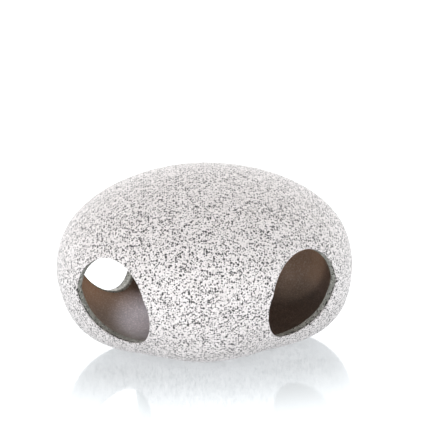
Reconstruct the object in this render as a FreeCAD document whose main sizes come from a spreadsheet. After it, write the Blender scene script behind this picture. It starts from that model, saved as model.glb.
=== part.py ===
"""A round resin cave for an aquarium: a hollow pebble with three swim-through openings.

The wall is built from the outside in: a sprayed stone-effect coat, a cast resin shell in two halves that are
glued at the waist with a tongue and groove, and a brown wash on the inside. A band seals the cut edge of the
wall in each opening. Sizes are in millimetres. +Z is up, the origin is on the table under the middle of the
pebble, and -Y is the front. Azimuths are degrees from -Y, positive towards +X.
"""

import FreeCAD, Part
import Sketcher
import math
import os

# Driving dimensions, in millimetres, degrees or plain powers. Each is a cell of the sheet, under this alias.
DRIVING_SIZES = {
    "body_width": 130.0,
    "body_height": 80.0,
    "waist_height": 33.0,
    "crown_side_power": 1.8,
    "crown_top_power": 2.5,
    "crown_lean": -0.8,
    "flank_side_power": 4.6,
    "flank_foot_power": 2.6,
    "foot_radius": 36.5,
    "hollow_share": 0.23,
    "hollow_spread": 34.0,
    "hollow_fade_power": 0.93,
    "coat_thickness": 1.0,
    "resin_thickness": 2.6,
    "wash_thickness": 0.4,
    "bare_foot_margin": 1.5,
    "bore_radius": 19.5,
    "band_thickness": 0.8,
    "tongue_width": 1.0,
    "tongue_height": 2.0,
    "glue_gap": 0.15,
}

# Each opening's azimuth, and the height of its level axis.
OPENINGS = {
    "front_left": {"azimuth": -41.3, "height": 29.9},
    "front_right": {"azimuth": 43.5, "height": 30.1},
    "rear_left": {"azimuth": -130.6, "height": 37.7},
}

BORE_START_RADIUS = 25.0  # an opening's cutter starts in the cavity, so that it cuts one wall only
BORE_END_RADIUS = 90.0
FORM_MARGIN = 5.0  # how far cutting boxes stand past the pebble
SLOPE_STEP = 0.05  # height step for the slope of the profile
AZIMUTH_STEPS = 48  # points on each ring of the loft
FLANK_SHARES = (0.0, 0.03, 0.08, 0.15, 0.25, 0.38, 0.55, 0.77)  # rings from the foot to the waist
CROWN_ANGLES = (0, 14, 28, 41, 53, 63, 71, 78, 84, 88.5)  # rings from the waist to the top, in degrees

doc = FreeCAD.newDocument("CaveOrnament")
sheet = doc.addObject("Spreadsheet::Sheet", "Sizes")


def fill_sheet():
    """One row for each driving dimension: its name, and its value under an alias."""
    rows = dict(DRIVING_SIZES)
    for opening, place in OPENINGS.items():
        rows[opening + "_azimuth"] = place["azimuth"]
        rows[opening + "_height"] = place["height"]
    for number, (alias, value) in enumerate(rows.items(), start=1):
        sheet.set("A%d" % number, alias)
        sheet.set("B%d" % number, str(value))
        sheet.setAlias("B%d" % number, alias)
    doc.recompute()


def size(alias):
    """The value of a cell of the sheet."""
    return float(sheet.get(alias))


fill_sheet()


# ---- The pebble's form ----


def round_radius(height):
    """The radius at a height, before the hollows at the foot: one superellipse each side of the waist."""
    half_width, waist = size("body_width") / 2, size("waist_height")
    if height >= waist:
        share = min((height - waist) / (size("body_height") - waist), 1.0)
        return half_width * (1 - share ** size("crown_top_power")) ** (1 / size("crown_side_power"))
    side, foot = size("flank_side_power"), size("flank_foot_power")
    full_depth = waist / (1 - (size("foot_radius") / half_width) ** side) ** (1 / foot)
    return half_width * (1 - ((waist - height) / full_depth) ** foot) ** (1 / side)


def hollow_at(azimuth):
    """How much the foot draws in at an azimuth, as a share: it does so under each opening."""
    total = 0.0
    for opening in OPENINGS:
        away = (azimuth - size(opening + "_azimuth") + 180.0) % 360.0 - 180.0
        total += size("hollow_share") * math.exp(-((away / size("hollow_spread")) ** 2))
    return total


def stone_radius(azimuth, height):
    """The outer surface's radius at an azimuth and height."""
    below_waist = max(0.0, 1.0 - height / size("waist_height"))
    return round_radius(height) * (1 - hollow_at(azimuth) * below_waist ** size("hollow_fade_power"))


def inset_point(azimuth, height, inset):
    """Radius and height of the point that lies inset below the outer surface's point at a height."""
    low, high = max(0.0, height - SLOPE_STEP), min(height + SLOPE_STEP, size("body_height"))
    slope = (stone_radius(azimuth, high) - stone_radius(azimuth, low)) / (high - low)
    length = math.hypot(1.0, slope)
    return stone_radius(azimuth, height) - inset / length, height + inset * slope / length


def foot_height(azimuth, inset, floor):
    """The outer height whose inset point lies on the flat floor."""
    low, high = 0.0, size("waist_height")
    if inset_point(azimuth, low, inset)[1] >= floor:
        return low
    for _ in range(40):
        middle = (low + high) / 2
        if inset_point(azimuth, middle, inset)[1] < floor:
            low = middle
        else:
            high = middle
    return (low + high) / 2


def ring(inset, floor, flank_share=None, crown_angle=None):
    """A closed smooth wire round the inset surface, at a share of the flank or an angle up the crown."""
    waist, crown = size("waist_height"), size("body_height") - size("waist_height")
    points = []
    for step in range(AZIMUTH_STEPS):
        azimuth = 360.0 * step / AZIMUTH_STEPS
        if crown_angle is None:
            foot = foot_height(azimuth, inset, floor)
            height = foot + (waist - foot) * flank_share
        else:
            height = waist + crown * math.sin(math.radians(crown_angle))
        radius, level = inset_point(azimuth, height, inset)
        if flank_share == 0.0:
            level = floor
        lean = size("crown_lean") * (max(0.0, height - waist) / crown) ** 2
        turn = math.radians(azimuth)
        points.append(FreeCAD.Vector(radius * math.sin(turn) + lean, -radius * math.cos(turn), level))
    curve = Part.BSplineCurve()
    curve.interpolate(Points=points, PeriodicFlag=True)
    return Part.Wire([curve.toShape()])


def add_form(name, inset):
    """The pebble's form moved inwards by an inset, with a flat floor, as a freeform solid."""
    floor = inset
    rings = [ring(inset, floor, flank_share=share) for share in FLANK_SHARES]
    rings += [ring(inset, floor, crown_angle=angle) for angle in CROWN_ANGLES]
    form = doc.addObject("Part::Feature", name)
    form.Shape = Part.makeLoft(rings, True, False)
    return form


def add_foot_pad(name):
    """The bare patch under the pebble, where the resin reaches the table through the coat."""
    margin, thickness = size("bare_foot_margin"), size("coat_thickness")
    points = []
    for step in range(AZIMUTH_STEPS):
        azimuth = 360.0 * step / AZIMUTH_STEPS
        radius, turn = stone_radius(azimuth, 0.0) - margin, math.radians(azimuth)
        points.append(FreeCAD.Vector(radius * math.sin(turn), -radius * math.cos(turn), 0.0))
    curve = Part.BSplineCurve()
    curve.interpolate(Points=points, PeriodicFlag=True)
    face = Part.Face(Part.Wire([curve.toShape()]))
    pad = doc.addObject("Part::Feature", name)
    pad.Shape = face.extrude(FreeCAD.Vector(0, 0, thickness))
    return pad


# ---- Tools that cut the layers ----


def boolean(kind, name, base, tool):
    """A cut, fuse or common of two objects, as an object of the document."""
    made = doc.addObject("Part::" + kind, name)
    made.Base, made.Tool = base, tool
    return made


def fuse_all(name, objects):
    """One object that joins several."""
    made = doc.addObject("Part::MultiFuse", name)
    made.Shapes = objects
    return made


def add_bore(name, opening, radius_expression):
    """A level cylinder along an opening's axis."""
    turn = math.radians(size(opening + "_azimuth"))
    axis = FreeCAD.Vector(math.sin(turn), -math.cos(turn), 0)
    start = axis * BORE_START_RADIUS + FreeCAD.Vector(0, 0, size(opening + "_height"))
    bore = doc.addObject("Part::Cylinder", name)
    bore.setExpression("Radius", radius_expression)
    bore.Height = BORE_END_RADIUS - BORE_START_RADIUS
    bore.Placement = FreeCAD.Placement(start, FreeCAD.Rotation(FreeCAD.Vector(0, 0, 1), axis))
    return bore


def add_slab(name, bottom_expression, height_expression):
    """A box wider than the pebble, between two heights."""
    slab = doc.addObject("Part::Box", name)
    slab.setExpression("Length", "Sizes.body_width + %g" % (2 * FORM_MARGIN))
    slab.setExpression("Width", "Sizes.body_width + %g" % (2 * FORM_MARGIN))
    slab.setExpression("Height", height_expression)
    slab.setExpression("Placement.Base.x", "-(Sizes.body_width / 2 + %g)" % FORM_MARGIN)
    slab.setExpression("Placement.Base.y", "-(Sizes.body_width / 2 + %g)" % FORM_MARGIN)
    slab.setExpression("Placement.Base.z", bottom_expression)
    return slab


def set_lengths(sketch, named_lengths):
    """Adds each constraint of a sketch, and binds it to its expression."""
    for name, constraint, expression in named_lengths:
        index = sketch.addConstraint(constraint)
        sketch.renameConstraint(index, name)
        sketch.setExpression("Constraints." + name, expression)


def add_waist_ring(name, clearance):
    """A body with one revolved rectangle: the tongue, or the groove when it has a clearance."""
    body = doc.addObject("PartDesign::Body", name)
    sketch = body.newObject("Sketcher::SketchObject", name + "_section")
    plane = next(face for face in body.Origin.OriginFeatures if face.Role == "XZ_Plane")
    sketch.AttachmentSupport = [(plane, "")]
    sketch.MapMode = "FlatFace"
    middle = size("body_width") / 2 - size("coat_thickness") - size("resin_thickness") / 2
    half, level, deep = size("tongue_width") / 2, size("waist_height"), size("tongue_height")
    low, high = level - deep, level
    corners = [(middle - half, low), (middle + half, low), (middle + half, high), (middle - half, high)]
    corners = [FreeCAD.Vector(x, y, 0) for x, y in corners]
    for start, end in zip(corners, corners[1:] + corners[:1]):
        sketch.addGeometry(Part.LineSegment(start, end), False)
    for line in range(4):
        sketch.addConstraint(Sketcher.Constraint("Coincident", line, 2, (line + 1) % 4, 1))
    for line, way in enumerate(("Horizontal", "Vertical", "Horizontal", "Vertical")):
        sketch.addConstraint(Sketcher.Constraint(way, line))
    wall_middle = "Sizes.body_width / 2 - Sizes.coat_thickness - Sizes.resin_thickness / 2"
    top = "Sizes.waist_height + Sizes.glue_gap"
    bottom = "Sizes.waist_height - Sizes.tongue_height - %g" % clearance
    set_lengths(
        sketch,
        [
            ("inner", Sketcher.Constraint("DistanceX", -1, 1, 0, 1, middle - half),
             wall_middle + " - Sizes.tongue_width / 2 - %g" % clearance),
            ("outer", Sketcher.Constraint("DistanceX", -1, 1, 1, 1, middle + half),
             wall_middle + " + Sizes.tongue_width / 2 + %g" % clearance),
            ("bottom", Sketcher.Constraint("DistanceY", -1, 1, 0, 1, level - deep), bottom),
            ("top", Sketcher.Constraint("DistanceY", -1, 1, 2, 1, level), top),
        ],
    )
    turned = body.newObject("PartDesign::Revolution", name + "_turned")
    turned.Profile = sketch
    turned.ReferenceAxis = (sketch, ["V_Axis"])
    turned.Angle = 360.0
    return body


# ---- The sub-parts ----

depth_of_resin = size("coat_thickness")
depth_of_wash = depth_of_resin + size("resin_thickness")
depth_of_cavity = depth_of_wash + size("wash_thickness")

outer_form = add_form("outer_form", 0.0)
resin_form = add_form("resin_form", depth_of_resin)
wash_form = add_form("wash_form", depth_of_wash)
cavity_form = add_form("cavity_form", depth_of_cavity)
foot_pad = add_foot_pad("foot_pad_form")

bores = {o: add_bore("bore_" + o, o, "Sizes.bore_radius") for o in OPENINGS}
cuts = {o: add_bore("cut_" + o, o, "Sizes.bore_radius + Sizes.band_thickness") for o in OPENINGS}
all_cuts = fuse_all("all_cuts", list(cuts.values()))

# The halves meet a glue gap apart at the waist. The tongue and the groove stay inside the resin's thickness.
upper_slab = add_slab("upper_slab", "Sizes.waist_height + Sizes.glue_gap / 2", "Sizes.body_height")
lower_slab = add_slab("lower_slab", "-1", "Sizes.waist_height - Sizes.glue_gap / 2 + 1")
tongue = add_waist_ring("tongue", 0.0)
groove = add_waist_ring("groove", size("glue_gap"))
upper_region = boolean("Fuse", "upper_region", upper_slab, tongue)
lower_region = boolean("Cut", "lower_region", lower_slab, groove)


def layer(name, outside, inside):
    """The layer between two forms, cut through at every opening."""
    shell = boolean("Cut", name + "_uncut", outside, inside)
    return boolean("Cut", name, shell, all_cuts)


coat_inside = boolean("Fuse", "coat_inside", resin_form, foot_pad)
stone_coat = layer("stone_coat", outer_form, coat_inside)
resin_wall = layer("resin_wall", coat_inside, wash_form)
inner_wash = layer("inner_wash", wash_form, cavity_form)
upper_shell = boolean("Common", "upper_shell", resin_wall, upper_region)
lower_shell = boolean("Common", "lower_shell", resin_wall, lower_region)

whole_wall = boolean("Cut", "whole_wall", outer_form, cavity_form)
edge_bands = {}
for opening in OPENINGS:
    sleeve = boolean("Cut", "sleeve_" + opening, cuts[opening], bores[opening])
    edge_bands[opening] = boolean("Common", "edge_band_" + opening, whole_wall, sleeve)

doc.recompute()


def add_glue_lines():
    """What fills the joint between the halves: one bead on each pillar between two openings."""
    filled = resin_wall.Shape.cut(upper_shell.Shape).cut(lower_shell.Shape)
    beads = {}
    for solid in filled.Solids:
        middle = solid.CenterOfMass
        azimuth = math.degrees(math.atan2(middle.x, -middle.y))
        if azimuth < size("rear_left_azimuth") or azimuth > size("front_right_azimuth"):
            name = "glue_line_rear"
        elif azimuth > size("front_left_azimuth"):
            name = "glue_line_front"
        else:
            name = "glue_line_left"
        bead = doc.addObject("Part::Feature", name)
        bead.Shape = solid
        beads[name] = bead
    return beads


glue_lines = add_glue_lines()
doc.recompute()

SUB_PARTS = [stone_coat, upper_shell, lower_shell, inner_wash, *edge_bands.values(), *glue_lines.values()]


def check():
    """Stops before anything is written if an object failed, or a sub-part isn't a sound solid."""
    for made in doc.Objects:
        if "Invalid" in made.State or "Error" in made.State:
            raise RuntimeError("%s failed: %s" % (made.Name, made.State))
    for part in SUB_PARTS:
        if part.Shape.isNull() or not part.Shape.isValid() or not part.Shape.Solids:
            raise RuntimeError("%s has no sound solid" % part.Name)
    if len(glue_lines) != len(OPENINGS):
        raise RuntimeError("there is not one glue line on each pillar")


def write():
    """One STEP file for each sub-part, named by its label."""
    os.makedirs("parts", exist_ok=True)
    for part in SUB_PARTS:
        part.Shape.exportStep("parts/%s.step" % part.Label)
        box = part.Shape.BoundBox
        print("%-24s %d solid(s) %9.1f mm3  %.1f x %.1f x %.1f" % (
            part.Label, len(part.Shape.Solids), part.Shape.Volume, box.XLength, box.YLength, box.ZLength))


check()
write()
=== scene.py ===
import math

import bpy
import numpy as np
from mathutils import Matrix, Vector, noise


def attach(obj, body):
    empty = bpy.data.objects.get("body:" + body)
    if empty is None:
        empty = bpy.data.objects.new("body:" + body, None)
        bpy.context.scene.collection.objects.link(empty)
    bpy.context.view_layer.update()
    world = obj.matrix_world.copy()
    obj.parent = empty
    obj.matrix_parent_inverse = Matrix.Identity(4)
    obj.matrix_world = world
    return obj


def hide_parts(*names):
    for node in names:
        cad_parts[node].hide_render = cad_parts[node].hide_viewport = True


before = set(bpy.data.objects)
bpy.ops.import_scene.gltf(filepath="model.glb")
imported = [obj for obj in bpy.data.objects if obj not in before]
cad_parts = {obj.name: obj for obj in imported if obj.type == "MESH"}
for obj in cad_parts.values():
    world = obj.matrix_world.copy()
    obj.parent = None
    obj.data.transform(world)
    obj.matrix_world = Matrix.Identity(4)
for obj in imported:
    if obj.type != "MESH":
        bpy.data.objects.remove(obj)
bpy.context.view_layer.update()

# Looks of a resin cave ornament: a hollow pebble with a speckled stone-effect coat, a brown wash inside, and
# a sealed edge band in each of its three openings. The resin shells and their glue are the CAD nodes
# themselves. The skins here are closed thin meshes on the same form as the CAD part, worked out in
# millimetres.

MM = 0.001  # metres in a millimetre

# ---- The pebble's form, in millimetres, as in the CAD part ----

HALF_WIDTH = 65.0
HEIGHT = 80.0
WAIST = 33.0  # height of the widest place
CROWN_SIDE_POWER = 1.8
CROWN_TOP_POWER = 2.5
CROWN_LEAN = -0.8  # how far the top stands towards +X
FLANK_SIDE_POWER = 4.6
FLANK_FOOT_POWER = 2.6
FOOT_RADIUS = 36.5
HOLLOW_SHARE = 0.23  # how much of its radius the foot loses under an opening
HOLLOW_SPREAD = math.radians(34.0)
HOLLOW_FADE_POWER = 0.93
WALL = 4.0
BARE_FOOT_MARGIN = 1.5  # width of the coat's ring round the bare foot

BORE_RADIUS = 19.5
MOUTH_RADIUS = 60.0  # distance of each bore's start from the middle
# Each opening's azimuth from -Y towards +X, in degrees, and the height of its level axis.
OPENINGS = {
    "front_left": (-41.3, 29.9),
    "front_right": (43.5, 30.1),
    "rear_left": (-130.6, 37.7),
}

# ---- The skins, in millimetres ----

COAT_SKIN = 0.7  # thickness of each skin
WASH_SKIN = 0.35
BAND_SKIN = 0.6
OUTER_LIP = 1.1  # how far the coat's rounding reaches from the edge of an opening
INNER_LIP = 0.9
LIP_ROWS = 6
BAND_ROWS = 10
SPHERE_LEVEL = 7  # subdivisions of the sphere that the skins start from
CENTRE = np.array([0.0, 0.0, WAIST])  # every ray from this point meets the surface once

COAT_SWELL = 0.12  # unevenness of each skin, and the length over which it varies
COAT_SWELL_LENGTH = 14.0
WASH_SWELL = 0.12
WASH_SWELL_LENGTH = 9.0
BAND_SWELL = 0.16
BAND_SWELL_LENGTH = 1.8
INWARD_SHARE = "inward_share"  # a band's own value at each place: 0 at its outer border, 1 at its inner one

SHARP_ANGLE = math.radians(50)
ON_TABLE = 0.02  # heights below this are on the table

# ---- How the form's surface is found, in millimetres ----

FAR = 130.0  # more than any distance inside the pebble
SLOPE_STEP = 0.02  # distance over which a slope is measured
LEAST_SLOPE = 1e-9  # keeps the division whole at the middle of the foot, where the gap has no slope
DEPTH_ROUNDS = 6
SURFACE_HALVINGS = 40
EDGE_HALVINGS = 24
EDGE_DEEPEST = -25.0  # an opening's edges lie between these two, along its bore from the start
EDGE_HIGHEST = 20.0
SAME_OPENING = 1.0  # a loop that keeps this near to a bore's lip belongs to that opening

# ---- Colours: linear red, green, blue and alpha ----

COAT_SHADE = (0.80, 0.757, 0.75, 1.0)
COAT_LIGHT = (0.88, 0.836, 0.83, 1.0)
COAT_DUSTING = (0.53, 0.50, 0.495, 1.0)
WASH_DARK = (0.21, 0.125, 0.08, 1.0)
WASH_LIGHT = (0.32, 0.195, 0.13, 1.0)
# the painted shade on the chamber's floor
WASH_PAINTED_SHADE = (0.145, 0.125, 0.118, 1.0)
WASH_DUST = (0.46, 0.37, 0.31, 1.0)
BAND_DARK = (0.31, 0.31, 0.275, 1.0)
BAND_LIGHT = (0.47, 0.47, 0.42, 1.0)
# dark chips, and the painted shade line that they form at a band's outer border
BAND_CHIP_AND_PAINTED_SHADE = (0.05, 0.05, 0.045, 1.0)
BAND_SCUFF = (0.70, 0.69, 0.65, 1.0)
RESIN_DARK = (0.60, 0.55, 0.46, 1.0)
RESIN_LIGHT = (0.72, 0.68, 0.60, 1.0)
GLUE_DARK = (0.46, 0.34, 0.16, 1.0)
GLUE_LIGHT = (0.55, 0.43, 0.23, 1.0)
FLOOR_COLOUR = (0.40, 0.43, 0.45, 1.0)
FLOOR_GLOW_COLOUR = (0.95, 0.985, 1.0, 1.0)
SKY_COLOUR = (1.0, 1.0, 1.0, 1.0)

# ---- Patterns ----

PATCH_LOW = 0.3  # noise is mostly between these two, so patches stretch that to the whole range
PATCH_HIGH = 0.7
PAINTED_SHADE_TOP = 26.0  # heights in millimetres where the painted shade on the chamber's floor ends, and below which it is full
PAINTED_SHADE_FULL = 8.0

# Layers of specks: size of a speck's cell in millimetres, share of cells with a speck, the widest speck as a
# share of its cell, and its grey, from 0 for black to 1 for white.
COAT_SPECKS = (
    (0.56, 0.42, 0.48, 0.03),
    (0.76, 0.40, 0.50, 0.005),
    (1.00, 0.30, 0.50, 0.005),
)
BAND_SPECKS = (
    (0.9, 0.5, 0.42, 0.04),
    (0.7, 0.3, 0.40, 0.6),
)
SPECK_SCATTER = 0.8  # how freely the cells lie: 0 in a grid, 1 wholly at random
SPECK_NARROWEST = 0.6  # as a share of the widest
SPECK_FAINTEST = 0.85  # how much of the surface's colour the faintest speck covers
SPECK_WARMTH = 0.04
SPECK_WARP = 0.25  # how far outlines are pulled about, and over what length, in millimetres
SPECK_WARP_LENGTH = 0.7
SPECK_PIT = 0.35  # how deep a speck sits, as a share of the coat's relief

# ---- The table, the lights and the camera, in metres ----

TABLE_SIZE = 8.0
FLOOR_ROUGHNESS = 0.08
FLOOR_GLOSS = 0.5
FLOOR_GLOW_IN_PAINTED_SHADOW = 0.36  # glow's strength under the ornament, kept low there as a painted shadow
FLOOR_GLOW_AWAY = 1.1
FLOOR_GLOW_START = 0.05  # distances from the middle between which the glow rises out of the painted shadow
FLOOR_GLOW_END = 0.20

SKY_STRENGTH = 1.17
BACKDROP_STRENGTH = 2.2
BACKDROP_START = 0.2  # how far a direction points to +Y, of 1, where the backdrop's light starts and is full
BACKDROP_END = 0.8
OVERHEAD_SHARE = 0.62
OVERHEAD_START = 0.2  # how far a direction points up, of 1, where the light starts to fall off and ends
OVERHEAD_END = 0.9

CHAMBER_AIM = Vector((0.0, 0.0, 0.03))
LIGHT_DISTANCE = 0.6
# Each light's azimuth and elevation in degrees, size, power in watts, tint, what it falls on, and whether it
# comes up through the table.
LIGHTS = {
    "left_fill": (-41.0, -1.0, 0.02, 0.9, (1.0, 0.93, 0.80), "wash", False),
    "right_fill": (43.5, 18.5, 0.05, 11.5, (0.66, 0.78, 1.0), "wash", False),
    "right_low_fill": (54.0, 11.0, 0.06, 2.3, (1.0, 0.93, 0.84), "wash", False),
    "side_fill": (-55.0, 28.0, 0.3, 0.45, (1.0, 0.98, 0.98), "coat", False),
    "bounce": (-5.0, -55.0, 0.3, 1.15, (1.0, 0.98, 0.98), "coat", True),
    "rear_fill": (-150.0, 32.0, 0.3, 2.0, (1.0, 0.99, 0.97), "bands", False),
}

AIM = Vector((0.0, 0.0, 0.035))
CAMERA_DISTANCE = 1.2
CAMERA_ELEVATION = math.radians(11.9)
CAMERA_ROLL = math.radians(-2.2)
CAMERA_PAN_UP = math.radians(1.06)
CAMERA_PAN_RIGHT = math.radians(0.22)
CAMERA_LENS = 229.0  # millimetres
CAMERA_CLIP_START = 0.05


# ---- The form ----


def round_radius(height):
    """The pebble's radius at each height, before the hollows at its foot."""
    crown_share = np.clip((height - WAIST) / (HEIGHT - WAIST), 0.0, 1.0)
    crown = HALF_WIDTH * (1 - crown_share**CROWN_TOP_POWER) ** (1 / CROWN_SIDE_POWER)
    foot_share = 1 - (FOOT_RADIUS / HALF_WIDTH) ** FLANK_SIDE_POWER
    full_depth = WAIST / foot_share ** (1 / FLANK_FOOT_POWER)
    flank_share = np.clip((WAIST - height) / full_depth, 0.0, 1.0)
    flank = HALF_WIDTH * (1 - flank_share**FLANK_FOOT_POWER) ** (1 / FLANK_SIDE_POWER)
    return np.where(height >= WAIST, crown, flank)


def hollow_at(azimuth):
    """How much the foot draws in at each azimuth, as a share: it does so under each opening."""
    total = np.zeros_like(azimuth)
    for opening_azimuth, _ in OPENINGS.values():
        away = (azimuth - math.radians(opening_azimuth) + math.pi) % (2 * math.pi) - math.pi
        total += HOLLOW_SHARE * np.exp(-((away / HOLLOW_SPREAD) ** 2))
    return total


def stone_radius(azimuth, height):
    """The outer surface's radius at each azimuth and height."""
    below_waist = np.clip(1 - height / WAIST, 0.0, 1.0)
    return round_radius(height) * (1 - hollow_at(azimuth) * below_waist**HOLLOW_FADE_POWER)


def radial_gap(points):
    """How far each point stands out from the surface, measured level. It is below 0 inside."""
    x, y, height = points.T
    lean = CROWN_LEAN * (np.clip(height - WAIST, 0.0, None) / (HEIGHT - WAIST)) ** 2
    radius = np.hypot(x - lean, y)
    return radius - stone_radius(np.arctan2(x - lean, -y), height)


def outward(points):
    """The surface's outward direction at each point, and how steeply the gap grows that way."""
    slope = np.empty_like(points)
    for axis in range(3):
        step = np.zeros(3)
        step[axis] = SLOPE_STEP
        slope[:, axis] = (radial_gap(points + step) - radial_gap(points - step)) / (2 * SLOPE_STEP)
    steepness = np.maximum(np.linalg.norm(slope, axis=1, keepdims=True), LEAST_SLOPE)
    return slope / steepness, steepness[:, 0]


def depth_of(points):
    """How deep each point lies below the surface, measured square to it."""
    nearest = points.copy()
    for _ in range(DEPTH_ROUNDS):
        direction, steepness = outward(nearest)
        nearest -= direction * (radial_gap(nearest) / steepness)[:, None]
        direction, _ = outward(nearest)
        away = points - nearest
        nearest += away - direction * np.sum(away * direction, axis=1, keepdims=True)
    return -np.sum((points - nearest) * direction, axis=1)


def halved(low, high, is_beyond, rounds):
    """The value between low and high at which is_beyond turns true, for each item."""
    for _ in range(rounds):
        middle = (low + high) / 2
        beyond = is_beyond(middle)
        high = np.where(beyond, middle, high)
        low = np.where(beyond, low, middle)
    return (low + high) / 2


class Bore:
    """An opening's cylinder, and the places round it."""

    def __init__(self, azimuth, height):
        turn = math.radians(azimuth)
        self.axis = np.array([math.sin(turn), -math.cos(turn), 0.0])
        self.side = np.array([math.cos(turn), math.sin(turn), 0.0])
        self.up = np.array([0.0, 0.0, 1.0])
        self.start = self.axis * MOUTH_RADIUS + self.up * height

    def gap(self, points, margin):
        """Distance from a cylinder that is wider than the bore by a margin. It is large on the far wall."""
        away = points - self.start
        along = away @ self.axis
        across = np.hypot(away @ self.side, away @ self.up)
        return np.where(along > -MOUTH_RADIUS, across - BORE_RADIUS - margin, FAR)

    def turn_of(self, points):
        """The angle of each point round the axis."""
        away = points - self.start
        return np.arctan2(away @ self.up, away @ self.side)

    def inward(self, turn):
        """Directions from the bore's wall towards its axis."""
        return -(np.outer(np.cos(turn), self.side) + np.outer(np.sin(turn), self.up))

    def place(self, turn, across, along):
        """Points at angles round the axis, distances from it and distances along it."""
        return self.start - self.inward(turn) * across + np.outer(along, self.axis)

    def along_at(self, turn, across, depth):
        """How far along the axis a line beside it reaches a depth below the outer surface."""

        def is_beyond(along):
            return depth_of(self.place(turn, across, along)) < depth

        deepest = np.full_like(turn, EDGE_DEEPEST)
        highest = np.full_like(turn, EDGE_HIGHEST)
        return halved(deepest, highest, is_beyond, EDGE_HALVINGS)


BORES = {name: Bore(*place) for name, place in OPENINGS.items()}


# ---- Meshes ----


def sphere_mesh():
    """Directions and triangles of a finely divided sphere."""
    bpy.ops.mesh.primitive_ico_sphere_add(subdivisions=SPHERE_LEVEL, radius=1.0)
    ball = bpy.context.object
    directions = np.empty(len(ball.data.vertices) * 3)
    ball.data.vertices.foreach_get("co", directions)
    triangles = np.empty(len(ball.data.polygons) * 3, dtype=np.int32)
    ball.data.polygons.foreach_get("vertices", triangles)
    bpy.data.meshes.remove(ball.data)
    return unit(directions.reshape(-1, 3)), triangles.reshape(-1, 3)


def sides_of(triangles):
    """The three sides of every triangle, as pairs of vertices in its direction."""
    return np.concatenate([triangles[:, [0, 1]], triangles[:, [1, 2]], triangles[:, [2, 0]]])


def edges_of(triangles):
    """Each edge once, as a pair of vertices."""
    return np.unique(np.sort(sides_of(triangles), axis=1), axis=0)


def boundary_of(triangles):
    """The open edges of a surface, each in the direction of its triangle."""
    sides = sides_of(triangles)
    stride = sides.max() + 1
    keys = sides[:, 0].astype(np.int64) * stride + sides[:, 1]
    reverse = sides[:, 1].astype(np.int64) * stride + sides[:, 0]
    return sides[~np.isin(keys, reverse)]


def loops_of(edges):
    """Directed edges joined up into loops of vertices."""
    following = dict(edges.tolist())
    loops = []
    while following:
        start, at = following.popitem()
        loop = [start]
        while at != start:
            loop.append(at)
            at = following.pop(at)
        loops.append(np.array(loop))
    return loops


def snap(points, triangles, field):
    """Moves vertices along edges onto a field's zero line. Returns the field's sign, 0 on the line."""
    value = field(points)
    edges = edges_of(triangles)
    crossing = edges[value[edges[:, 0]] * value[edges[:, 1]] < 0]
    start, end = crossing.T
    share = value[start] / (value[start] - value[end])
    places = points[start] + (points[end] - points[start]) * share[:, None]
    nearer = np.where(share < 0.5, start, end)
    total = np.zeros_like(points)
    count = np.zeros(len(points))
    np.add.at(total, nearer, places)
    np.add.at(count, nearer, 1)
    snapped = count > 0
    points[snapped] = total[snapped] / count[snapped, None]
    sign = np.sign(value)
    sign[snapped] = 0
    return sign


def outside_of(triangles, sign):
    """The triangles that lie on the positive side of a line that vertices were snapped to."""
    return triangles[sign[triangles].sum(axis=1) > 0]


def swell(points, amount, length):
    """A smooth unevenness at each point."""
    return amount * np.array([noise.noise(Vector(point / length)) for point in points])


def unit(vectors):
    """The same directions, one long."""
    return vectors / np.linalg.norm(vectors, axis=-1, keepdims=True)


def lip_shares():
    """How far round a lip each of its rows is."""
    return np.linspace(0, 1, LIP_ROWS + 1)[1:, None, None]


def bend(start, corner, end):
    """A lip's rows of points, on a smooth curve from start to end that turns at a corner."""
    share = lip_shares()
    return (1 - share) ** 2 * start + 2 * share * (1 - share) * corner + share**2 * end


def turned_ways(start, end):
    """A lip's rows of directions, which turn from start to end."""
    share = lip_shares()
    return unit((1 - share) * start + share * end)


def numbered(rows, first):
    """Numbers for the points of some rows, counted from a first one."""
    return first + np.arange(rows.shape[0] * rows.shape[1]).reshape(rows.shape[:2])


def grid_faces(rows):
    """Triangles of a closed strip between rows of vertices. Each row is a loop of the same length."""
    near, far = rows[:-1], rows[1:]
    near_next, far_next = np.roll(near, -1, axis=1), np.roll(far, -1, axis=1)
    first = np.stack([near_next, near, far], axis=-1).reshape(-1, 3)
    second = np.stack([near_next, far, far_next], axis=-1).reshape(-1, 3)
    return np.concatenate([first, second])


def closed_skin(name, front, facing, triangles, thickness):
    """A thin closed solid: a front, its back a thickness deeper, and walls round its open edges."""
    used = np.unique(triangles)
    renumber = np.full(len(front), -1)
    renumber[used] = np.arange(len(used))
    near = renumber[triangles]
    start, end = boundary_of(near).T
    deeper = len(used)
    walls = np.concatenate(
        [
            np.stack([end, start, start + deeper], axis=-1),
            np.stack([end, start + deeper, end + deeper], axis=-1),
        ]
    )
    back = front[used] - facing[used] * thickness
    corners = np.concatenate([front[used], back]) * MM
    faces = np.concatenate([near, near[:, ::-1] + deeper, walls])
    mesh = bpy.data.meshes.new(name)
    mesh.from_pydata(corners.tolist(), [], faces.tolist())
    mesh.shade_smooth()
    mesh.set_sharp_from_angle(angle=SHARP_ANGLE)
    skin = bpy.data.objects.new(name, mesh)
    bpy.context.collection.objects.link(skin)
    return skin


# ---- Skins ----


def stone_surface():
    """The pebble's whole surface, before its foot is cut flat: points and triangles."""
    directions, triangles = sphere_mesh()
    reach = halved(
        np.zeros(len(directions)),
        np.full(len(directions), FAR),
        lambda distance: radial_gap(CENTRE + directions * distance[:, None]) > 0,
        SURFACE_HALVINGS,
    )
    return CENTRE + directions * reach[:, None], triangles


def foot_gap(points):
    """How far each point is outside the bare foot."""
    azimuth = np.arctan2(points[:, 0], -points[:, 1])
    outline = stone_radius(azimuth, np.zeros(len(points))) - BARE_FOOT_MARGIN
    gap = np.hypot(points[:, 0], points[:, 1]) - outline
    return np.where(points[:, 2] < WAIST, gap, FAR)


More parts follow.
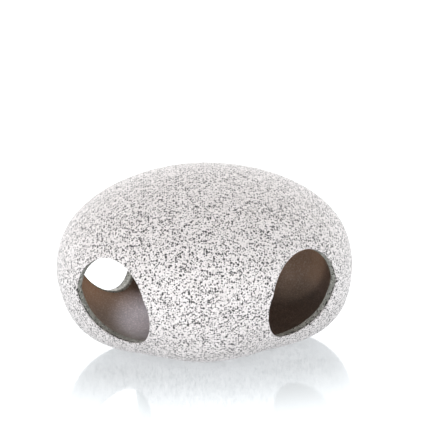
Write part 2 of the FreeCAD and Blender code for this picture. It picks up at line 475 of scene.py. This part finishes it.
def make_coat(points, triangles):
    """The stone-effect coat, rounded into each opening and open under the foot.

    Returns it, and the angles round each bore at which its lip has points.
    """
    points = points.copy()
    snap(points, triangles, lambda places: places[:, 2])
    surface = outside_of(triangles, snap(points, triangles, foot_gap))
    for bore in BORES.values():
        surface = outside_of(surface, snap(points, triangles, lambda places: bore.gap(places, OUTER_LIP)))
    facing, _ = outward(points)
    on_table = points[:, 2] < ON_TABLE
    facing[on_table] = (0.0, 0.0, -1.0)
    points[:, 2] = np.clip(points[:, 2], 0.0, None)
    sunk = COAT_SWELL - swell(points, COAT_SWELL, COAT_SWELL_LENGTH)
    points -= facing * np.where(on_table, 0.0, sunk)[:, None]

    turns = {}
    loops = loops_of(boundary_of(surface))
    for name, bore in BORES.items():
        loop = next(each for each in loops if np.abs(bore.gap(points[each], OUTER_LIP)).max() < SAME_OPENING)
        turn = turns[name] = bore.turn_of(points[loop])
        edge = bore.along_at(turn, BORE_RADIUS, 0.0)
        corner = bore.place(turn, BORE_RADIUS, edge)
        end = bore.place(turn, BORE_RADIUS, edge - OUTER_LIP)
        rows = bend(points[loop], corner, end)
        ways = turned_ways(facing[loop], bore.inward(turn))
        numbers = numbered(rows, len(points))
        surface = np.concatenate([surface, grid_faces(np.vstack([loop[None], numbers]))])
        points = np.concatenate([points, rows.reshape(-1, 3)])
        facing = np.concatenate([facing, ways.reshape(-1, 3)])
    return closed_skin("coat_skin", points, facing, surface, COAT_SKIN), turns


def make_wash(points, triangles):
    """The brown wash: the inside of the wall, with a flat floor and an edge at each opening."""
    facing, _ = outward(points)
    points = points - facing * WALL
    surface = triangles
    for bore in BORES.values():
        surface = outside_of(surface, snap(points, triangles, lambda places: bore.gap(places, INNER_LIP)))
    on_floor = points[:, 2] < WALL
    points[:, 2] = np.clip(points[:, 2], WALL, None)
    facing[on_floor] = (0.0, 0.0, -1.0)
    points -= facing * (swell(points, WASH_SWELL, WASH_SWELL_LENGTH) + WASH_SWELL)[:, None]
    return closed_skin("wash_skin", points, -facing, surface[:, ::-1], WASH_SKIN)


def make_band(name, bore, turn):
    """The sealed cut edge of the wall in one opening, from the coat's lip to the wash."""
    outer = bore.along_at(turn, BORE_RADIUS, 0.0) - OUTER_LIP
    inner_edge = bore.along_at(turn, BORE_RADIUS, WALL)
    inner = inner_edge + INNER_LIP
    share = np.linspace(0, 1, BAND_ROWS + 1)[:, None]
    flat_ways = np.broadcast_to(bore.inward(turn), (BAND_ROWS + 1, len(turn), 3))
    along = outer * (1 - share) + inner * share
    flat = np.stack([bore.place(turn, BORE_RADIUS, each) for each in along])
    rough = swell(flat.reshape(-1, 3), BAND_SWELL, BAND_SWELL_LENGTH).reshape(flat.shape[:2])
    flat = flat + flat_ways * (rough * np.sin(math.pi * share))[..., None]

    corner = bore.place(turn, BORE_RADIUS, inner_edge)
    reach = BORE_RADIUS + INNER_LIP
    end = bore.place(turn, reach, bore.along_at(turn, reach, WALL))
    lip = bend(flat[-1], corner, end)
    chamber_ways = -outward(end)[0]
    lip_ways = turned_ways(flat_ways[0], chamber_ways)

    rows = np.concatenate([flat, lip])
    ways = np.concatenate([flat_ways, lip_ways]).reshape(-1, 3)
    faces = grid_faces(numbered(rows, 0))
    band = closed_skin("band_skin_" + name, rows.reshape(-1, 3), ways, faces, BAND_SKIN)
    inward = np.repeat(np.linspace(0, 1, len(rows)), len(turn))
    values = band.data.attributes.new(INWARD_SHARE, "FLOAT", "POINT").data
    values.foreach_set("value", np.concatenate([inward, inward]))
    return band


# ---- Materials ----


class Nodes:
    """A node tree. Each call adds a node, whose inputs are values or other nodes' sockets."""

    def __init__(self, tree):
        self.tree = tree
        self.tree.nodes.clear()

    def node(self, kind, inputs=None, **settings):
        """Adds a node with settings and inputs."""
        made = self.tree.nodes.new(kind)
        for name, value in settings.items():
            setattr(made, name, value)
        for name, value in (inputs or {}).items():
            if isinstance(value, bpy.types.NodeSocket):
                self.tree.links.new(value, made.inputs[name])
            else:
                made.inputs[name].default_value = value
        return made

    def maths(self, operation, *values):
        """A sum, product or comparison of numbers."""
        inputs = dict(enumerate(values))
        return self.node("ShaderNodeMath", inputs, operation=operation).outputs[0]

    def vector_maths(self, operation, inputs):
        """A sum, difference or multiple of places."""
        return self.node("ShaderNodeVectorMath", inputs, operation=operation).outputs[0]

    def mix(self, share, first, second):
        """Two colours mixed by a share."""
        inputs = {0: share, 6: first, 7: second}
        return self.node("ShaderNodeMix", inputs, data_type="RGBA").outputs[2]

    def ramp(self, value, low, high, start=0.0, end=1.0):
        """A number taken smoothly from start to end as a value goes from low to high."""
        inputs = {"Value": value, "From Min": low, "From Max": high, "To Min": start, "To Max": end}
        made = self.node("ShaderNodeMapRange", inputs, interpolation_type="SMOOTHSTEP")
        return made.outputs["Result"]


class Shader(Nodes):
    """A node material whose patterns are laid out by place in the object."""

    def __init__(self, name):
        self.material = bpy.data.materials.new(name)
        self.material.use_nodes = True
        super().__init__(self.material.node_tree)
        self.place = self.node("ShaderNodeTexCoord").outputs["Object"]

    def noise(self, size, detail):
        """A node of smooth noise whose lumps are about size millimetres."""
        inputs = {"Vector": self.place, "Scale": 1 / (size * MM), "Detail": detail}
        return self.node("ShaderNodeTexNoise", inputs)

    def grain(self, size, detail):
        """Smooth noise as a number from 0 to 1."""
        return self.noise(size, detail).outputs["Fac"]

    def patches(self, size, detail, start=0.0, end=1.0):
        """Soft patches of a size in millimetres, as a number from start to end."""
        return self.ramp(self.grain(size, detail), PATCH_LOW, PATCH_HIGH, start, end)

    def finish(self, colour, roughness, height, relief, **sockets):
        """The surface itself: colour, roughness, and relief in millimetres of a height from 0 to 1."""
        bump = self.node("ShaderNodeBump", {"Strength": 1.0, "Distance": relief * MM, "Height": height})
        inputs = {"Base Color": colour, "Roughness": roughness, "Normal": bump.outputs["Normal"]}
        inputs.update({name.replace("_", " "): value for name, value in sockets.items()})
        surface = self.node("ShaderNodeBsdfPrincipled", inputs)
        self.node("ShaderNodeOutputMaterial", {"Surface": surface.outputs["BSDF"]})
        return self.material


def warm_grey(value):
    """A grey with red raised and blue lowered a little."""
    return (value * (1 + SPECK_WARMTH), value, value * (1 - SPECK_WARMTH), 1.0)


def pulled_place(shader):
    """Places pulled about a little, which make the outlines of specks irregular."""
    pull = shader.noise(SPECK_WARP_LENGTH, detail=1.0).outputs["Color"]
    centred = shader.vector_maths("SUBTRACT", {0: pull, 1: (0.5, 0.5, 0.5)})
    shift = shader.vector_maths("SCALE", {0: centred, "Scale": SPECK_WARP * MM})
    return shader.vector_maths("ADD", {0: shader.place, 1: shift})


def add_specks(shader, colour, layers):
    """Lays specks of irregular outline over a colour. Returns the new colour and how much of it is speck."""
    place = pulled_place(shader)
    covered = 0.0
    for size, share, widest, shade in layers:
        inputs = {"Vector": place, "Scale": 1 / (size * MM), "Randomness": SPECK_SCATTER}
        cells = shader.node("ShaderNodeTexVoronoi", inputs)
        chance = shader.node("ShaderNodeSeparateColor", {"Color": cells.outputs["Color"]})
        radius = shader.ramp(chance.outputs["Green"], 0.0, 1.0, widest * SPECK_NARROWEST, widest)
        inside = shader.maths("LESS_THAN", cells.outputs["Distance"], radius)
        present = shader.maths("LESS_THAN", chance.outputs["Red"], share)
        speck = shader.maths("MULTIPLY", inside, present)
        cover = shader.ramp(chance.outputs["Blue"], 0.0, 1.0, SPECK_FAINTEST, 1.0)
        colour = shader.mix(shader.maths("MULTIPLY", speck, cover), colour, warm_grey(shade))
        covered = shader.maths("MAXIMUM", covered, speck)
    return colour, covered


def stone_coat_material():
    """Off-white sprayed coat with black and grey specks and a fine dry grain."""
    shader = Shader("stone_coat")
    base = shader.mix(shader.patches(size=6.0, detail=3.0), COAT_SHADE, COAT_LIGHT)
    dusting = shader.ramp(shader.grain(size=0.45, detail=1.0), low=0.42, high=0.58, end=0.5)
    base = shader.mix(dusting, base, COAT_DUSTING)
    colour, covered = add_specks(shader, base, COAT_SPECKS)
    pits = shader.maths("MULTIPLY", covered, SPECK_PIT)
    height = shader.maths("SUBTRACT", shader.grain(size=0.45, detail=3.0), pits)
    sheen = {"Sheen_Weight": 0.3, "Sheen_Roughness": 0.35}
    return shader.finish(colour, roughness=0.62, height=height, relief=0.09, **sheen)


def brown_wash_material():
    """Semi-gloss brown wash over cast resin, dusty, with painted shade that makes it darker and greyer
    towards the chamber's floor.
    """
    shader = Shader("brown_wash")
    colour = shader.mix(shader.patches(size=16.0, detail=4.0), WASH_DARK, WASH_LIGHT)
    height = shader.node("ShaderNodeSeparateXYZ", {0: shader.place}).outputs["Z"]
    # painted shade: the wash is darker and greyer low in the chamber, where its floor lies in shade
    painted_shade = shader.ramp(height, PAINTED_SHADE_FULL * MM, PAINTED_SHADE_TOP * MM, start=0.85, end=0.0)
    colour = shader.mix(painted_shade, colour, WASH_PAINTED_SHADE)
    dust = shader.ramp(shader.grain(size=0.7, detail=4.0), low=0.45, high=0.70, end=0.45)
    colour = shader.mix(dust, colour, WASH_DUST)
    roughness = shader.patches(size=5.0, detail=3.0, start=0.34, end=0.48)
    brushed = shader.grain(size=0.9, detail=4.0)
    return shader.finish(colour, roughness, height=brushed, relief=0.18, Specular_IOR_Level=1.0)


def edge_band_material():
    """Olive grey sealer over the cut edge, with dark chips, grit and pale scuffs; at its outer border the
    chips crowd into a painted shade line.
    """
    shader = Shader("edge_band")
    colour = shader.mix(shader.patches(size=4.0, detail=4.0), BAND_DARK, BAND_LIGHT)
    colour, _ = add_specks(shader, colour, BAND_SPECKS)
    inward = shader.node("ShaderNodeAttribute", attribute_name=INWARD_SHARE).outputs["Fac"]
    # painted shade: the dark chips crowd into a near-solid dark line along the outer border, in the crease
    # next to the coat
    more_chips_and_painted_shade_at_border = shader.ramp(inward, low=0.0, high=0.3, start=0.12, end=-0.15)
    chipping_and_border_shade = shader.maths("ADD", shader.grain(size=1.3, detail=3.0), more_chips_and_painted_shade_at_border)
    chips_and_border_shade = shader.ramp(chipping_and_border_shade, low=0.50, high=0.57)
    colour = shader.mix(chips_and_border_shade, colour, BAND_CHIP_AND_PAINTED_SHADE)
    scuffs = shader.ramp(shader.grain(size=1.1, detail=5.0), low=0.57, high=0.63)
    colour = shader.mix(scuffs, colour, BAND_SCUFF)
    height = shader.maths("SUBTRACT", shader.grain(size=0.7, detail=4.0), chips_and_border_shade)
    return shader.finish(colour, roughness=0.5, height=height, relief=0.15)


def cast_resin_material():
    """Bare cream casting resin, lightly sanded under the foot."""
    shader = Shader("cast_resin")
    colour = shader.mix(shader.grain(size=9.0, detail=4.0), RESIN_DARK, RESIN_LIGHT)
    sanded = shader.grain(size=0.6, detail=5.0)
    return shader.finish(colour, roughness=0.55, height=sanded, relief=0.08)


def glue_material():
    """Set epoxy, amber and glossy."""
    shader = Shader("glue")
    cloud = shader.grain(size=3.0, detail=2.0)
    colour = shader.mix(cloud, GLUE_DARK, GLUE_LIGHT)
    return shader.finish(colour, roughness=0.2, height=cloud, relief=0.05)


def floor_material():
    """A flat white table that glows, which lights the ornament softly from below; its glow is weaker under
    the ornament, a painted shadow. It reflects faintly.
    """
    shader = Shader("table")
    away = shader.node("ShaderNodeVectorMath", {0: shader.place}, operation="LENGTH").outputs["Value"]
    # painted shadow: the table's glow is weaker near the ornament's foot
    glow = shader.ramp(away, FLOOR_GLOW_START, FLOOR_GLOW_END, FLOOR_GLOW_IN_PAINTED_SHADOW, FLOOR_GLOW_AWAY)
    lit = {"Emission_Color": FLOOR_GLOW_COLOUR, "Emission_Strength": glow, "Specular_IOR_Level": FLOOR_GLOSS}
    return shader.finish(FLOOR_COLOUR, FLOOR_ROUGHNESS, height=0.5, relief=0.0, **lit)


def dress(item, material):
    """Gives an object one material."""
    item.data.materials.clear()
    item.data.materials.append(material)


# ---- The pieces ----

form_points, form_triangles = stone_surface()
coat, lip_turns = make_coat(form_points, form_triangles)
wash = make_wash(form_points, form_triangles)
bands = {name: make_band(name, bore, lip_turns[name]) for name, bore in BORES.items()}

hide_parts("stone_coat")
dress(coat, stone_coat_material())
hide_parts("inner_wash")
dress(wash, brown_wash_material())
edge_band = edge_band_material()
for opening_name, band in bands.items():
    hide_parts("edge_band_" + opening_name)
    dress(band, edge_band)
for piece in (coat, wash, *bands.values()):
    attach(piece, "root")

cast_resin, glue = cast_resin_material(), glue_material()
for node_name, node_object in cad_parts.items():
    if node_name.endswith("_shell"):
        dress(node_object, cast_resin)
    elif node_name.startswith("glue_line"):
        dress(node_object, glue)


# ---- The table, the lights and the camera ----


def add_table():
    """The pale floor that the ornament stands on."""
    bpy.ops.mesh.primitive_plane_add(size=TABLE_SIZE)
    table = bpy.context.object
    table.name = "table"
    dress(table, floor_material())


def add_sky():
    """White light from all round, stronger from the white backdrop behind and weaker overhead."""
    world = bpy.data.worlds.new("sky")
    world.use_nodes = True
    sky = Nodes(world.node_tree)
    way = sky.node("ShaderNodeTexCoord").outputs["Generated"]
    split = sky.node("ShaderNodeSeparateXYZ", {0: way}).outputs
    level = sky.ramp(split["Y"], BACKDROP_START, BACKDROP_END, SKY_STRENGTH, BACKDROP_STRENGTH)
    overhead = sky.ramp(split["Z"], OVERHEAD_START, OVERHEAD_END, 1.0, OVERHEAD_SHARE)
    strength = sky.maths("MULTIPLY", level, overhead)
    light = sky.node("ShaderNodeBackground", {"Color": SKY_COLOUR, "Strength": strength})
    sky.node("ShaderNodeOutputWorld", {"Surface": light.outputs["Background"]})
    bpy.context.scene.world = world


def gather(name, items):
    """A collection of the pieces that a light falls on, or that cast its shadows."""
    made = bpy.data.collections.new(name)
    for item in items:
        made.objects.link(item)
    return made


def add_light(name, azimuth, elevation, size, power, tint, receivers, through_table):
    """A soft light aimed at the chamber. Only its receivers take it up, and it makes no glare on them.

    When it comes up through the table, only the receivers cast its shadows.
    """
    data = bpy.data.lights.new(name, "AREA")
    data.size = size
    data.energy = power
    data.color = tint
    turn, rise = math.radians(azimuth), math.radians(elevation)
    level_out = Vector((math.sin(turn), -math.cos(turn), 0.0))
    way = level_out * math.cos(rise) + Vector((0.0, 0.0, math.sin(rise)))
    light = bpy.data.objects.new(name, data)
    light.location = CHAMBER_AIM + way * LIGHT_DISTANCE
    light.rotation_euler = (-way).to_track_quat("-Z", "Y").to_euler()
    light.visible_glossy = False
    bpy.context.collection.objects.link(light)
    light.light_linking.receiver_collection = gather(name + "_lit", receivers)
    if through_table:
        light.light_linking.blocker_collection = gather(name + "_blockers", receivers)


def add_lights():
    """All the soft lights, each for one kind of piece."""
    lit = {"coat": [coat], "wash": [wash], "bands": list(bands.values())}
    for name, (azimuth, elevation, size, power, tint, kind, through_table) in LIGHTS.items():
        add_light(name, azimuth, elevation, size, power, tint, lit[kind], through_table)


def add_camera():
    """A long lens in front, a little above and turned a little about its own axis."""
    data = bpy.data.cameras.new("camera")
    data.lens = CAMERA_LENS
    data.clip_start = CAMERA_CLIP_START
    camera = bpy.data.objects.new("camera", data)
    back = Vector((0.0, -math.cos(CAMERA_ELEVATION), math.sin(CAMERA_ELEVATION)))
    camera.location = AIM + back * CAMERA_DISTANCE
    facing = (-back).to_track_quat("-Z", "Y").to_matrix()
    turned = Matrix.Rotation(CAMERA_ROLL, 3, "Z") @ Matrix.Rotation(CAMERA_PAN_UP, 3, "X")
    turned = turned @ Matrix.Rotation(-CAMERA_PAN_RIGHT, 3, "Y")
    camera.rotation_euler = (facing @ turned).to_euler()
    bpy.context.collection.objects.link(camera)
    bpy.context.scene.camera = camera


add_table()
add_sky()
add_lights()
add_camera()
bpy.context.scene.view_settings.view_transform = "Standard"
